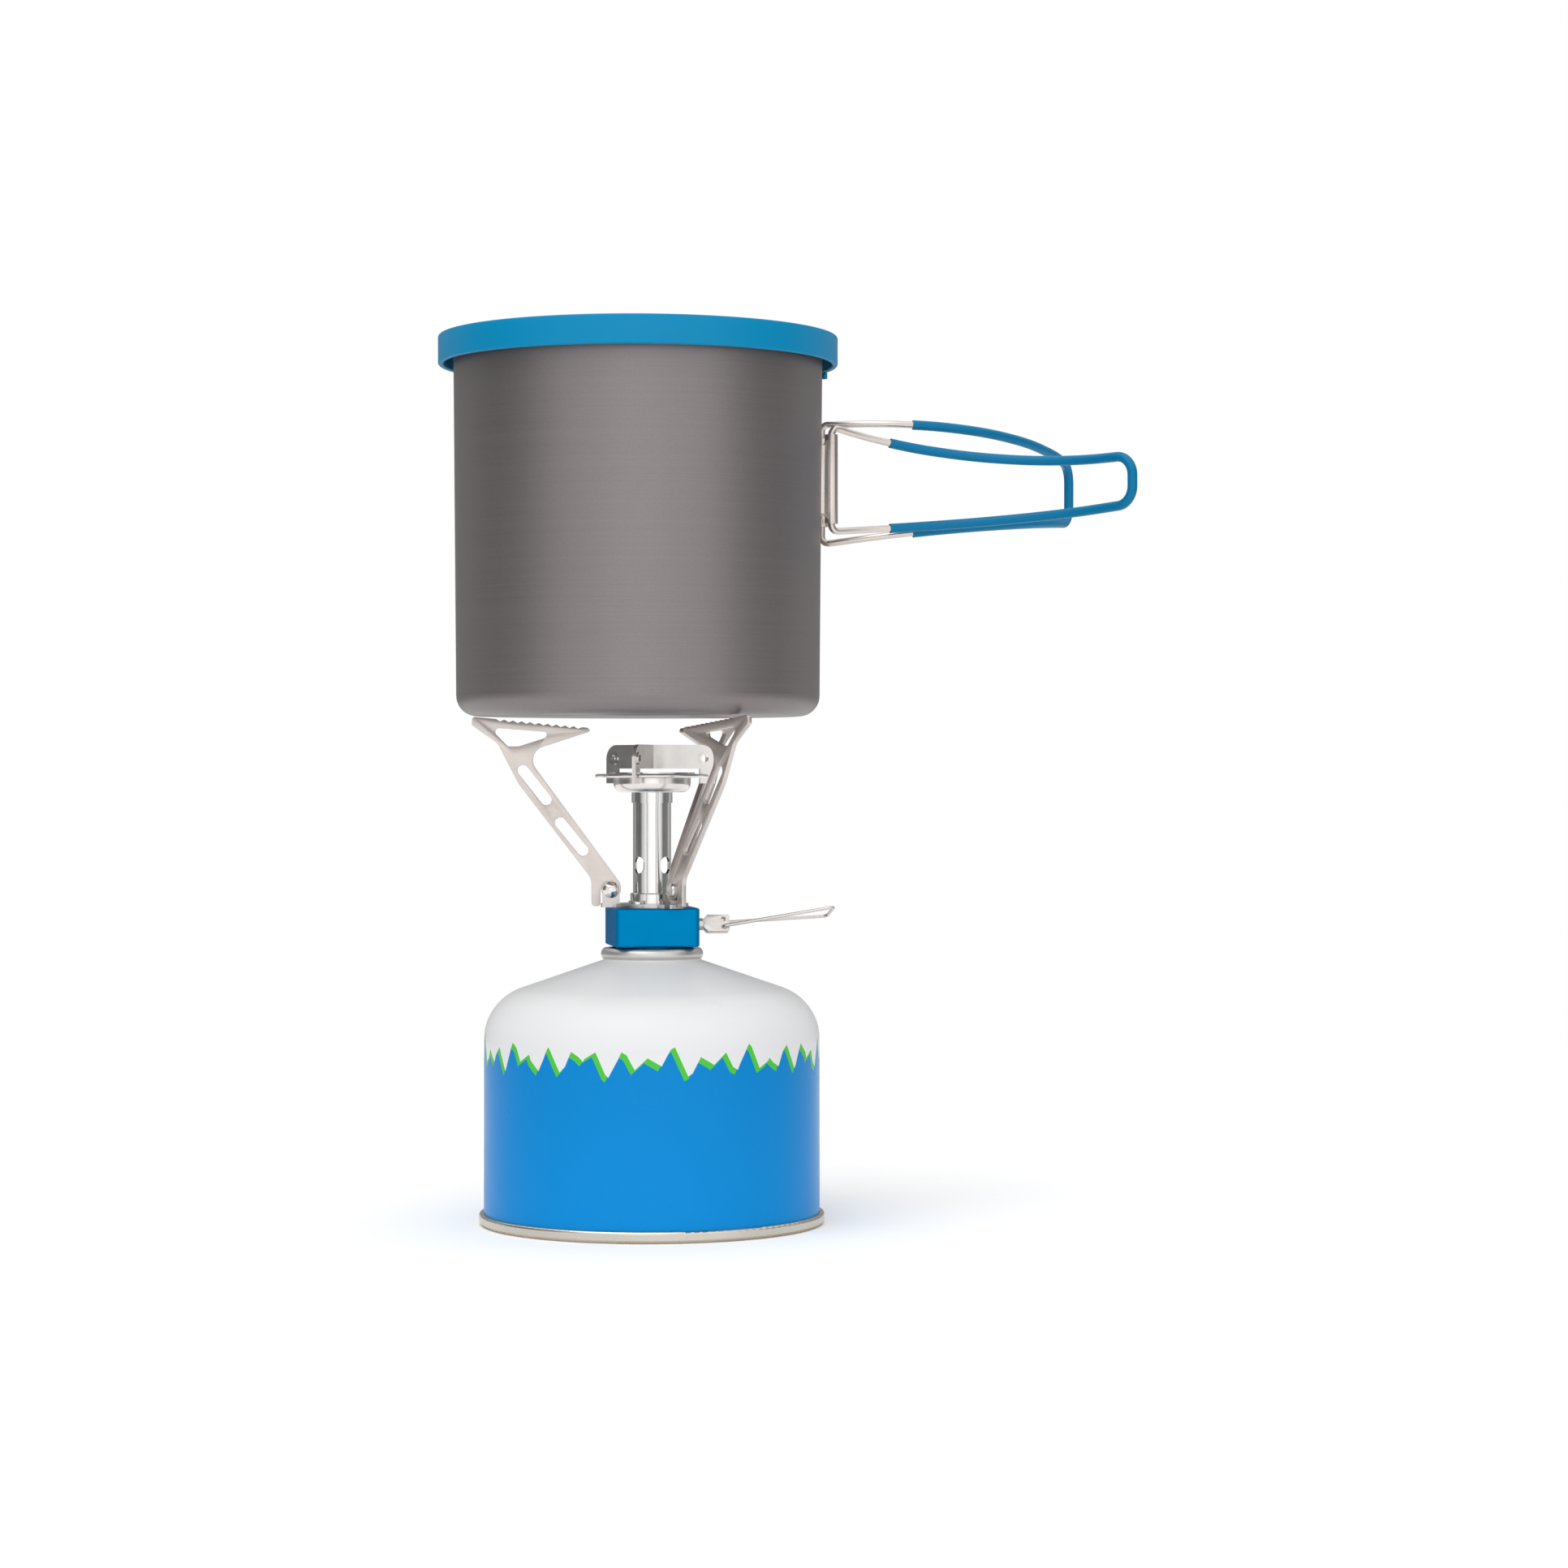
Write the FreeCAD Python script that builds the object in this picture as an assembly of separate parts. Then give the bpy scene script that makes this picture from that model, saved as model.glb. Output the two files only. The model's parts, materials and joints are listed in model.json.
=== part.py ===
import FreeCAD, Part
import math
import os

V = FreeCAD.Vector
UP = V(0, 0, 1)

# ---- fits ----
RUN = 0.05                      # radial clearance of a turning or sliding fit
SIDE = 0.05                     # side clearance of a folding joint
SEAT = 0.3                      # a loose piece above what it rests on

# ---- fuel canister ----
CAN_R = 52.9
CAN_WALL = 0.6
SEAM_R = CAN_R + 1.5
SEAM_H = 3.7
SEAM_W = 3.0
SEAM_GROOVE_Z = 2.2
DOME_H = 10.0
SHOULDER_ARC = 17.0
CONE_DEG = 19.0
NECK_R = 15.45
NECK_H = 2.78
NECK_HOLE_R = NECK_R - 2.15
NECK_TOP = 85.7
GASKET_T = 0.4
CUP_T = 0.6
CUP_R = NECK_R + CUP_T + RUN
CUP_SKIRT_Z = NECK_TOP - 2.2
CUP_FLOOR = NECK_TOP - 6.3
BOSS_R = 5.556                  # 7/16 inch thread, major radius
THREAD_PITCH = 0.907
THREAD_DEPTH = 0.45
BOSS_TOP = CUP_FLOOR + 7.0
BOSS_BORE_R = BOSS_R - 1.956
BOSS_ROOF = 0.8
STEM_R = 1.1
STEM_HEAD_R = 2.2
STEM_GASKET_T = 1.0
BOSS_HOLE_R = STEM_R + 0.6
STEM_TOP = BOSS_TOP - 1.2
HEAD_TOP = BOSS_TOP - BOSS_ROOF - STEM_GASKET_T - 1.2
STEM_HEAD_Z = (HEAD_TOP - 1.5, HEAD_TOP)
HOUSING_BORE_R = STEM_HEAD_R + 0.3
HOUSING_FLOOR = HEAD_TOP - 6.9
HOUSING_BOTTOM = HOUSING_FLOOR - 1.5
SPRING_R = 1.7
SPRING_WIRE_R = 0.25

# ---- valve block and control ----
BLOCK_W = 26.6
BLOCK_H = 12.1
BLOCK_CORNER = 2.0
BLOCK_Z = (BOSS_TOP + 1.0, BOSS_TOP + 1.0 + BLOCK_H)
SEAL_CORD_R = 0.9
SEAL_RING_R = BOSS_R - 2.056
SOCKET_R = BOSS_R + 3.444
SOCKET_BOTTOM = BOSS_TOP - 4.4
SOCKET_TOP = BOSS_TOP + 2 * SEAL_CORD_R
PIN_ROD_R = 0.9
PIN_ROD_TOP = SOCKET_TOP + 2.4
FILTER_R = 2.4
FILTER_T = 1.0
GAS_HOLE_R = 0.6
SPINDLE_Z = BLOCK_Z[0] + 6.6
SPINDLE_R = 1.95
CHAMBER_R = SPINDLE_R + 0.65
CHAMBER_X = 1.2
GLAND_R = SPINDLE_R + 2.55
GLAND_X = BLOCK_W / 2 - 5.3
SEAL_X = GLAND_X - 1.95
SPINDLE_SHOULDER = BLOCK_W / 2 + 2.7
SPINDLE_GROOVE = 0.55
TENON_R = SPINDLE_R - 0.75
TENON_L = 3.5
JET_R = 2.5
JET_SEAT_Z = BLOCK_Z[1] - 2.3
YOKE_L = 8.5
YOKE_H = 5.35
YOKE_T = 3.3
YOKE_TILT = -16.0
YOKE_HOLE_X = SPINDLE_SHOULDER + 6.6
YOKE_HOLE_GAP = 2.44
WIRE_R = 0.525
WIRE_REACH = 35.6
WIRE_WIDTH = 13.0
WIRE_RISE = 3.8
WIRE_BEND = 1.6

# ---- support bracket and arms ----
TUBE_R = 6.0
TUBE_WALL = 0.7
WASHER_R = TUBE_R + 1.4
WASHER_T = 0.8
SCREW_HEAD_R = 1.55
SCREW_R = WASHER_R + SCREW_HEAD_R + 0.55
HUB_R = SCREW_R + 2.0
SHEET = 1.2
LOBE_EDGE = 16.1
LOBE_SIDE = 3.2
EAR_W = 5.5
ARM_T = 1.5
ARM_REACH = 42.7
ARM_HEIGHT = 54.35
PIVOT_R = LOBE_EDGE - 3.15
PIVOT_Z = BLOCK_Z[1] + SHEET + 4.35
RIVET_R = 1.5
RIVET_HEAD_R = RIVET_R + 1.1
RIVET_TAIL_R = RIVET_R + 0.65
ARM_END_R = 3.1
ARM_AZIMUTHS = {"arm_left": 173.0, "arm_front": -67.0, "arm_rear": 53.0}
TOOTH_PITCH = 2.72
TOOTH_DEPTH = 0.65
TEETH = 9
TOP_SLOPE = 5.4
SLOT_HALF = 1.74
SCREW_SHANK_R = 0.8
SCREW_AZIMUTHS = (113.0, -127.0)

# ---- burner ----
TUBE_H = 35.4
COLLAR_R = TUBE_R + 0.85
COLLAR_H = 2.5
TUBE_FOOT = BLOCK_Z[1] + SHEET + WASHER_T
TUBE_TOP = TUBE_FOOT + TUBE_H
HEAD_COLLAR_R = TUBE_R + 0.45
HEAD_COLLAR_Z = TUBE_TOP - 4.5
AIR_HOLE_Z = TUBE_FOOT + 11.2
AIR_HOLE_W = 4.0
AIR_HOLE_H = 5.5
AIR_HOLE_AZIMUTH = 38.0
CUP_BOTTOM = TUBE_TOP - 1.2
HEAD_R = 12.2
HEAD_T = 0.7
HEAD_CORNER = 3.0
FLANGE_Z = CUP_BOTTOM + 4.9
FLANGE_T = 0.6
FLANGE_R = HEAD_R + 5.7
RIM_R = 0.6
PLATE_R = HEAD_R + 1.3
PLATE_T = 0.8
VANE_T = 0.6
VANE_R = FLANGE_R + 2.5
VANE_TAB_R = FLANGE_R - 2.4
VANE_Z = (FLANGE_Z + 2.6, FLANGE_Z + 10.1)
VANE_TAB_Z = FLANGE_Z - 2.1
VANE_CORNER = 4.5
VANE_AZIMUTHS = (5.5, 125.5, 245.5)
NOTCH_CLEAR = 0.2
EYELET_R = VANE_R - 3.4
EYELET_Z = FLANGE_Z + 5.8

# ---- pot and lid ----
POT_X = -4.4
POT_R_TOP = 58.1
POT_R_LOW = POT_R_TOP - 0.9
POT_H = 117.1
POT_WALL = 1.0
POT_CORNER = 6.5
SEAT_REACH = min(ARM_REACH + 0.9, POT_R_LOW - POT_CORNER - POT_X - PIVOT_R)
SEAT_DROP = (ARM_REACH - SEAT_REACH) * math.tan(math.radians(TOP_SLOPE))
POT_Z = PIVOT_Z + ARM_HEIGHT - SEAT_DROP + SEAT
POT_RIM_R = 1.4
POT_RIM_OUT = POT_R_TOP + 2.4
POT_RIM_TOP = POT_Z + POT_H
LID_WALL = 1.8
LID_R = POT_RIM_OUT + 0.6 + LID_WALL
LID_T = 2.2
LID_TOP = POT_RIM_TOP + RUN + LID_T
LID_SKIRT_Z = LID_TOP - 9.0
LID_RING_T = 1.5
LID_RING_H = 5.0
LID_RING_CLEAR = 0.5
TAB_AZIMUTH = 7.5

# ---- folding handles ----
BRACKET_Z = (POT_Z + 63.85, POT_Z + 85.35)
BRACKET_MID = (BRACKET_Z[0] + BRACKET_Z[1]) / 2
BRACKET_HALF_W = 13.0
BRACKET_T = 1.0
HINGE_X = POT_R_TOP + 2.4
HINGE_Y = 8.0
CURL_Z = (BRACKET_Z[0] - 2.9, BRACKET_Z[1] + 3.8)
CURL_T = 0.9
WING_T = 0.9
WING_FOOT_Y = HINGE_Y + 3.0
HANDLE_R = 1.1
SLEEVE_R = HANDLE_R + 0.45
SLEEVE_FIT = 0.02
GRIP_RADIUS = 68.0
GRIP_START = 25.5
GRIP_LENGTH = 105.0
GRIP_STEP = 18.0
GRIP_ARC = 60.0
HINGE_BEND = 2.2
STUB_GAP = 3.0


def plan(azimuth, r=1.0, z=0.0):
    a = math.radians(azimuth)
    return V(r * math.cos(a), r * math.sin(a), z)


def ring(r_out, r_in, z0, z1):
    outer = Part.makeCylinder(r_out, z1 - z0, V(0, 0, z0))
    return outer.cut(Part.makeCylinder(r_in, z1 - z0 + 2, V(0, 0, z0 - 1)))


def turned(points):
    """Solid of revolution about Z. A point is (r, z); a triple (r, z, "arc") is the middle of an arc."""
    edges = []
    start = V(points[0][0], 0, points[0][1])
    last = start
    middle = None
    for point in points[1:] + points[:1]:
        here = V(point[0], 0, point[1])
        if len(point) == 3:
            middle = here
            continue
        if middle is not None:
            edges.append(Part.Arc(last, middle, here).toShape())
            middle = None
        else:
            edges.append(Part.makeLine(last, here))
        last = here
    return Part.Face(Part.Wire(edges)).revolve(V(0, 0, 0), UP, 360)


def cap_rise(width, height, r):
    """Height at radius r of a spherical cap of this half width and height."""
    radius = (width ** 2 + height ** 2) / (2 * height)
    return math.sqrt(radius ** 2 - r ** 2) - (radius - height)


def rounded_edges(corners, closed=True):
    """Straight runs joined by arcs. A corner is (point, radius)."""
    edges = []
    count = len(corners)
    ends = []
    for i, (point, radius) in enumerate(corners):
        inner = closed or 0 < i < count - 1
        if radius > 0 and inner:
            a = (corners[i - 1][0] - point).normalize()
            b = (corners[(i + 1) % count][0] - point).normalize()
            half = a.getAngle(b) / 2
            run = radius / math.tan(half)
            bisector = (a + b).normalize()
            centre = point + bisector * (radius / math.sin(half))
            ends.append((point + a * run, centre - bisector * radius, point + b * run))
        else:
            ends.append((point, None, point))
    for i, (p1, middle, p2) in enumerate(ends):
        if middle is not None:
            edges.append(Part.Arc(p1, middle, p2).toShape())
        if i < count - 1 or closed:
            following = ends[(i + 1) % count][0]
            edges.append(Part.makeLine(p2, following))
    return edges


def flat(corners):
    return Part.Face(Part.Wire(rounded_edges(corners)))


def upright(points, thickness, y0):
    """Plate in the XZ plane from (x, z, corner radius) points, its first face at y0."""
    face = flat([(V(x, y0, z), r) for x, z, r in points])
    return face.extrude(V(0, thickness, 0))


def lying(points, z0, height):
    face = flat([(V(x, y, z0), r) for x, y, r in points])
    return face.extrude(V(0, 0, height))


def pipe(edges, radius):
    wire = Part.Wire(edges)
    first = wire.OrderedEdges[0]
    at = first.valueAt(first.FirstParameter)
    along = first.tangentAt(first.FirstParameter)
    circle = Part.Wire(Part.makeCircle(radius, at, along))
    return wire.makePipeShell([circle], True, False)


def spun(shape, azimuth):
    return shape.rotated(V(0, 0, 0), UP, azimuth)


def hole_along_y(x, z, r):
    return Part.makeCylinder(r, 60, V(x, -30, z), V(0, 1, 0))


def lathe_x(points, z):
    """Solid turned about the line along X at height z, from (x, r) points."""
    edges = Part.makePolygon([V(x, 0, z + r) for x, r in points + points[:1]])
    return Part.Face(edges).revolve(V(0, 0, z), V(1, 0, 0), 360)


# ---- canister ----
def canister_shell():
    slope = math.radians(CONE_DEG)
    normal = (math.sin(slope), math.cos(slope))
    arc_r = CAN_R - SHOULDER_ARC
    half = (math.pi / 2 - slope) / 2
    neck_z = NECK_TOP - NECK_H
    cone_w = arc_r + SHOULDER_ARC * normal[0] - NECK_R
    shoulder_z = neck_z - cone_w * math.tan(slope) - SHOULDER_ARC * normal[1]

    def on_arc(radius, angle):
        return (arc_r + radius * math.cos(angle), shoulder_z + radius * math.sin(angle))

    inner_arc = SHOULDER_ARC - CAN_WALL
    outer_end = on_arc(SHOULDER_ARC, 2 * half)
    inner_end = on_arc(inner_arc, 2 * half)
    neck_in = NECK_R - CAN_WALL * normal[0]
    under_z = inner_end[1] + (inner_end[0] - neck_in) * math.tan(slope)
    return turned([
        (CAN_R, SEAM_GROOVE_Z), (CAN_R, shoulder_z), (*on_arc(SHOULDER_ARC, half), "arc"),
        outer_end, (NECK_R, neck_z), (NECK_R, NECK_TOP), (NECK_HOLE_R, NECK_TOP),
        (NECK_HOLE_R, under_z), (neck_in, under_z), inner_end,
        (*on_arc(inner_arc, half), "arc"), (CAN_R - CAN_WALL, shoulder_z),
        (CAN_R - CAN_WALL, SEAM_GROOVE_Z),
    ])


def canister_base():
    inner = SEAM_R - SEAM_W
    edge = 0.8
    bead = turned([
        (SEAM_R - 1.1, 0), (SEAM_R, 1.1), (SEAM_R, SEAM_H - edge),
        (SEAM_R - edge * 0.3, SEAM_H - edge * 0.3, "arc"), (SEAM_R - edge, SEAM_H),
        (inner + 0.3, SEAM_H), (inner, SEAM_H - 0.3), (inner, 0.6), (inner + 0.6, 0),
    ])
    groove = ring(CAN_R + 0.02, CAN_R - CAN_WALL - 0.02, SEAM_GROOVE_Z, SEAM_H + 1)
    foot = 1.4
    top = foot + DOME_H
    wide = inner + 0.2
    half = wide / 2
    rise = foot + cap_rise(wide, DOME_H, half)
    dome = turned([
        (wide, foot), (wide, foot + CAN_WALL), (half, rise + CAN_WALL, "arc"),
        (0, top + CAN_WALL), (0, top), (half, rise, "arc"),
    ])
    return bead.cut(groove).fuse(dome)


def valve_cup():
    top = NECK_TOP + GASKET_T + CUP_T
    wall_out = NECK_HOLE_R - RUN
    wall_in = wall_out - CUP_T
    under = CUP_FLOOR - CUP_T
    profile = [
        (CUP_R - CUP_T, CUP_SKIRT_Z), (CUP_R - CUP_T + 0.1, CUP_SKIRT_Z),
        (CUP_R, (CUP_SKIRT_Z + top) / 2, "arc"), (CUP_R - 0.9, top), (wall_in + 0.5, top),
        (wall_in, top - 0.5), (wall_in, CUP_FLOOR), (BOSS_R, CUP_FLOOR),
    ]
    threads = int((BOSS_TOP - 0.6 - CUP_FLOOR - 0.8) / THREAD_PITCH)
    z = CUP_FLOOR + 0.8
    for _ in range(threads):
        profile += [
            (BOSS_R, z), (BOSS_R - THREAD_DEPTH, z + THREAD_PITCH * 0.4),
            (BOSS_R, z + THREAD_PITCH * 0.8),
        ]
        z += THREAD_PITCH
    profile += [
        (BOSS_R, BOSS_TOP - 0.4), (BOSS_R - 0.4, BOSS_TOP), (BOSS_HOLE_R, BOSS_TOP),
        (BOSS_HOLE_R, BOSS_TOP - BOSS_ROOF), (BOSS_BORE_R, BOSS_TOP - BOSS_ROOF),
        (BOSS_BORE_R, under), (wall_out, under), (wall_out, top - CUP_T), (CUP_R - CUP_T, top - CUP_T),
    ]
    return turned(profile)


def cup_gasket():
    return ring(NECK_R - 0.1, NECK_HOLE_R, NECK_TOP, NECK_TOP + GASKET_T)


def stem_gasket():
    top = BOSS_TOP - BOSS_ROOF
    return ring(BOSS_BORE_R, STEM_R + RUN, top - STEM_GASKET_T, top)


def valve_housing():
    under = CUP_FLOOR - CUP_T
    tail = HOUSING_BORE_R + 0.4
    lip = BOSS_BORE_R + 1.0
    top = BOSS_TOP - BOSS_ROOF - STEM_GASKET_T
    return turned([
        (0.8, HOUSING_BOTTOM), (tail, HOUSING_BOTTOM), (tail, under - 1.2), (lip, under - 1.2),
        (lip, under), (BOSS_BORE_R, under), (BOSS_BORE_R, top), (HOUSING_BORE_R, top),
        (HOUSING_BORE_R, HOUSING_FLOOR), (0.8, HOUSING_FLOOR),
    ])


def valve_stem():
    low, high = STEM_HEAD_Z
    return turned([
        (0, low - 1.0), (0.9, low - 1.0), (0.9, low), (STEM_HEAD_R, low), (STEM_HEAD_R, high),
        (STEM_R, high), (STEM_R, STEM_TOP), (0, STEM_TOP),
    ])


def valve_spring():
    length = STEM_HEAD_Z[0] - HOUSING_FLOOR - 2 * SPRING_WIRE_R
    helix = Part.makeHelix(length / 5, length, SPRING_R)
    helix.translate(V(0, 0, HOUSING_FLOOR + SPRING_WIRE_R))
    return pipe(helix.Edges, SPRING_WIRE_R)


# ---- stove: gas side ----
def valve_block():
    w = BLOCK_W / 2
    square = [(w, w, BLOCK_CORNER), (-w, w, BLOCK_CORNER), (-w, -w, BLOCK_CORNER), (w, -w, BLOCK_CORNER)]
    z0, z1 = BLOCK_Z
    body = lying(square, z0, z1 - z0)
    rims = [e for e in body.Edges if abs(e.BoundBox.ZLength) < 0.01]
    body = body.makeChamfer(0.4, rims)
    body = body.fuse(Part.makeCylinder(SOCKET_R, z0 - SOCKET_BOTTOM, V(0, 0, SOCKET_BOTTOM)))
    cuts = [
        Part.makeCylinder(BOSS_R + RUN, SOCKET_TOP - SOCKET_BOTTOM, V(0, 0, SOCKET_BOTTOM)),
        Part.makeCylinder(PIN_ROD_R, PIN_ROD_TOP - SOCKET_TOP, V(0, 0, SOCKET_TOP)),
        Part.makeCylinder(FILTER_R, FILTER_T, V(0, 0, SOCKET_TOP)),
        Part.makeCylinder(GAS_HOLE_R, SPINDLE_Z - SOCKET_TOP, V(1.75, 0, SOCKET_TOP)),
        Part.makeCylinder(CHAMBER_R, GLAND_X - CHAMBER_X, V(CHAMBER_X, 0, SPINDLE_Z), V(1, 0, 0)),
        Part.makeCylinder(GLAND_R, w - GLAND_X, V(GLAND_X, 0, SPINDLE_Z), V(1, 0, 0)),
        Part.makeCylinder(0.5, CHAMBER_X + 0.6, V(-0.6, 0, SPINDLE_Z), V(1, 0, 0)),
        Part.makeCylinder(0.7, JET_SEAT_Z - SPINDLE_Z, V(-0.6, 0, SPINDLE_Z)),
        Part.makeCylinder(JET_R, z1 - JET_SEAT_Z, V(0, 0, JET_SEAT_Z)),
    ]
    for azimuth in SCREW_AZIMUTHS:
        cuts.append(Part.makeCylinder(SCREW_SHANK_R, 4.0, plan(azimuth, SCREW_R, z1 - 4.0)))
    return body.cut(cuts)


def inlet_seal():
    return Part.makeTorus(SEAL_RING_R, SEAL_CORD_R, V(0, 0, SOCKET_TOP - SEAL_CORD_R))


def inlet_filter():
    return ring(FILTER_R, PIN_ROD_R, SOCKET_TOP, SOCKET_TOP + FILTER_T)


def actuator_pin():
    tip = STEM_TOP + RUN
    return Part.makeCylinder(PIN_ROD_R, PIN_ROD_TOP - tip, V(0, 0, tip))


def gland_nut():
    end = BLOCK_W / 2 - 0.1
    return lathe_x([
        (GLAND_X, SPINDLE_R + RUN), (end, SPINDLE_R + RUN), (end, GLAND_R - 0.5),
        (end - 0.5, GLAND_R), (GLAND_X, GLAND_R),
    ], SPINDLE_Z)


def jet():
    top = TUBE_FOOT + 3.0
    return turned([
        (1.2, JET_SEAT_Z), (JET_R, JET_SEAT_Z), (JET_R, TUBE_FOOT), (1.6, TUBE_FOOT + 1.0), (1.6, top),
        (0.25, top), (0.25, top - 0.8), (1.2, top - 1.6),
    ])


# ---- control ----
def valve_spindle():
    tip = CHAMBER_X + 0.3
    groove = SPINDLE_R - SPINDLE_GROOVE
    g0 = SEAL_X - 0.75
    g1 = SEAL_X + 0.75
    return lathe_x([
        (tip, 0), (tip, 0.2), (tip + 1, 1.2), (g0 - 1.1, 1.2), (g0 - 1.1, SPINDLE_R), (g0, SPINDLE_R),
        (g0, groove), (g1, groove), (g1, SPINDLE_R), (SPINDLE_SHOULDER, SPINDLE_R),
        (SPINDLE_SHOULDER, TENON_R), (SPINDLE_SHOULDER + TENON_L, TENON_R),
        (SPINDLE_SHOULDER + TENON_L, 0),
    ], SPINDLE_Z)


def spindle_seal():
    outer = CHAMBER_R - RUN
    cord = (outer - SPINDLE_R + SPINDLE_GROOVE) / 2
    return Part.makeTorus(outer - cord, cord, V(SEAL_X, 0, SPINDLE_Z), V(1, 0, 0))


def tilted(shape):
    return shape.rotated(V(0, 0, SPINDLE_Z), V(1, 0, 0), YOKE_TILT)


def control_yoke():
    x0 = SPINDLE_SHOULDER
    x1 = x0 + YOKE_L
    h = YOKE_H / 2
    cut = 1.5
    outline = [
        (x0, SPINDLE_Z - h + cut, 0), (x0 + cut, SPINDLE_Z - h, 0), (x1, SPINDLE_Z - h, 0.5),
        (x1, SPINDLE_Z + h, 0.5), (x0 + cut, SPINDLE_Z + h, 0), (x0, SPINDLE_Z + h - cut, 0),
    ]
    body = upright(outline, YOKE_T, -YOKE_T / 2)
    low = hole_along_y(YOKE_HOLE_X, SPINDLE_Z - YOKE_HOLE_GAP / 2, WIRE_R + RUN)
    high = hole_along_y(YOKE_HOLE_X, SPINDLE_Z + YOKE_HOLE_GAP / 2, WIRE_R + 0.225)
    tenon = Part.makeCylinder(TENON_R, TENON_L, V(x0, 0, SPINDLE_Z), V(1, 0, 0))
    return tilted(body.cut([low, high, tenon]))


def control_wire():
    side = YOKE_T / 2 + 0.45 + WIRE_R
    low = SPINDLE_Z - YOKE_HOLE_GAP / 2
    high = SPINDLE_Z + YOKE_HOLE_GAP / 2
    end = YOKE_HOLE_X + WIRE_REACH - WIRE_R
    half = WIRE_WIDTH / 2 - WIRE_R
    path = [
        (V(YOKE_HOLE_X, YOKE_T / 2 - 0.2, low), 0),
        (V(YOKE_HOLE_X, -side, low), 0.9),
        (V(end, -half, SPINDLE_Z + WIRE_RISE), WIRE_BEND),
        (V(end, half, SPINDLE_Z + WIRE_RISE), WIRE_BEND),
        (V(YOKE_HOLE_X, side + 0.5, high), 0.9),
        (V(YOKE_HOLE_X, side - WIRE_R, high), 0),
    ]
    return tilted(pipe(rounded_edges(path, closed=False), WIRE_R))


# ---- support bracket and arms ----
def support_bracket():
    z0 = BLOCK_Z[1]
    ear_in = ARM_T / 2 + SIDE * 2
    ear_out = ear_in + SHEET
    ear_x0 = PIVOT_R - EAR_W / 2
    ear_x1 = PIVOT_R + EAR_W / 2
    body = Part.makeCylinder(HUB_R, SHEET, V(0, 0, z0))
    for azimuth in ARM_AZIMUTHS.values():
        lobe = [
            (0, -LOBE_SIDE - 2, 0), (HUB_R - 2, -LOBE_SIDE - 2, 3), (HUB_R + 1.5, -LOBE_SIDE, 1),
            (LOBE_EDGE, -LOBE_SIDE, 0.6), (LOBE_EDGE, ear_out, 0.6), (0, ear_out, 0),
        ]
        arm = lying(lobe, z0, SHEET)
        ear = [(ear_x0, z0, 0), (ear_x1, z0, 0), (ear_x1, PIVOT_Z, 0), (ear_x0, PIVOT_Z, 0)]
        upright_ear = upright(ear, SHEET, ear_in)
        crown = Part.makeCylinder(EAR_W / 2, SHEET, V(PIVOT_R, ear_in, PIVOT_Z), V(0, 1, 0))
        arm = arm.fuse([upright_ear, crown])
        arm = arm.cut(hole_along_y(PIVOT_R, PIVOT_Z, RIVET_R))
        body = body.fuse(spun(arm, azimuth))
    holes = [Part.makeCylinder(JET_R + 0.7, 4, V(0, 0, z0 - 1))]
    for azimuth in SCREW_AZIMUTHS:
        holes.append(Part.makeCylinder(SCREW_SHANK_R + 0.2, 4, plan(azimuth, SCREW_R, z0 - 1)))
    return body.cut(holes).removeSplitter()


def bracket_screws():
    top = BLOCK_Z[1] + SHEET
    screws = []
    for azimuth in SCREW_AZIMUTHS:
        at = plan(azimuth, SCREW_R)
        shank = Part.makeCylinder(SCREW_SHANK_R, 4.0 + SHEET, at + V(0, 0, BLOCK_Z[1] - 4.0))
        head = Part.makeCylinder(SCREW_HEAD_R, 0.9, at + V(0, 0, top))
        head = head.makeFillet(0.35, [e for e in head.Edges if e.BoundBox.ZMin > top + 0.8])
        slot = Part.makeBox(4, 0.4, 1, V(-2, -0.2, top + 0.5)).translated(at)
        screws.append(shank.fuse(head).cut(slot))
    return Part.makeCompound(screws)


def arm_rivets():
    far = ARM_T / 2 + SIDE * 2 + SHEET
    near = ARM_T / 2 + SIDE
    rivets = []
    tail = RIVET_TAIL_R
    crown = RIVET_HEAD_R / 2
    half = RIVET_HEAD_R / 2
    rise = far + cap_rise(RIVET_HEAD_R, crown, half)
    rivet = turned([
        (0, -near - 0.7), (tail - 0.4, -near - 0.7), (tail, -near - 0.3), (tail, -near),
        (RIVET_R, -near), (RIVET_R, far), (RIVET_HEAD_R, far), (half, rise, "arc"),
        (0, far + crown),
    ])
    rivet = rivet.rotated(V(0, 0, 0), V(1, 0, 0), -90).translated(V(PIVOT_R, 0, PIVOT_Z))
    for azimuth in ARM_AZIMUTHS.values():
        rivets.append(spun(rivet, azimuth))
    return Part.makeCompound(rivets)


def arm_top(s):
    """Height of the pot-bearing edge above the pivot, at distance s out from it."""
    return ARM_HEIGHT - (ARM_REACH - s) * math.tan(math.radians(TOP_SLOPE))


def from_tip(points):
    """Outline points given from the arm's upper outer end, as points from its pivot."""
    return [(ARM_REACH + x, ARM_HEIGHT + z, r) for x, z, r in points]


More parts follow.
